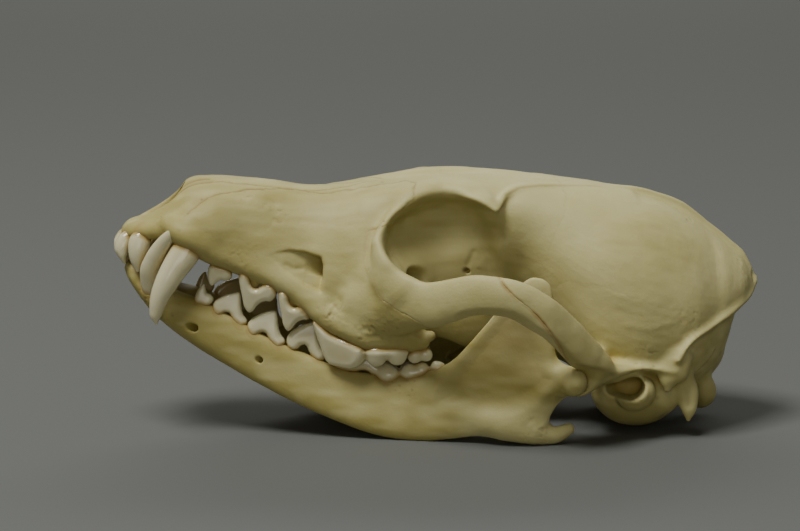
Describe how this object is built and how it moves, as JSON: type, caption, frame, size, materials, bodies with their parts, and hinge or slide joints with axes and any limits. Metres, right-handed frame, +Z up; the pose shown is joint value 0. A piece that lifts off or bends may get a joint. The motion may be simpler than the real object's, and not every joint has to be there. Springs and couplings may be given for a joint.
{
  "type": "fox skull",
  "caption": "Life-size cleaned red fox skull with its lower jaw closed, resting on the lower jaw and ear bulbs.",
  "frame": {"origin": "middle of the skull's length and width, at the level of the surface it rests on", "axes": "+X from the incisors to the back of the skull, +Y to the animal's right, +Z up"},
  "size_m": [0.1489, 0.0768, 0.0591],
  "materials": {
    "cranium_bone": "satin",
    "cheek_bone": "satin",
    "jaw_bone": "satin"
  },
  "bodies": {
    "root": {"cranium": "cranium_bone", "jugal_left": "cheek_bone", "jugal_right": "cheek_bone", "mandible_left": "jaw_bone", "mandible_right": "jaw_bone"}
  },
  "joints": []
}
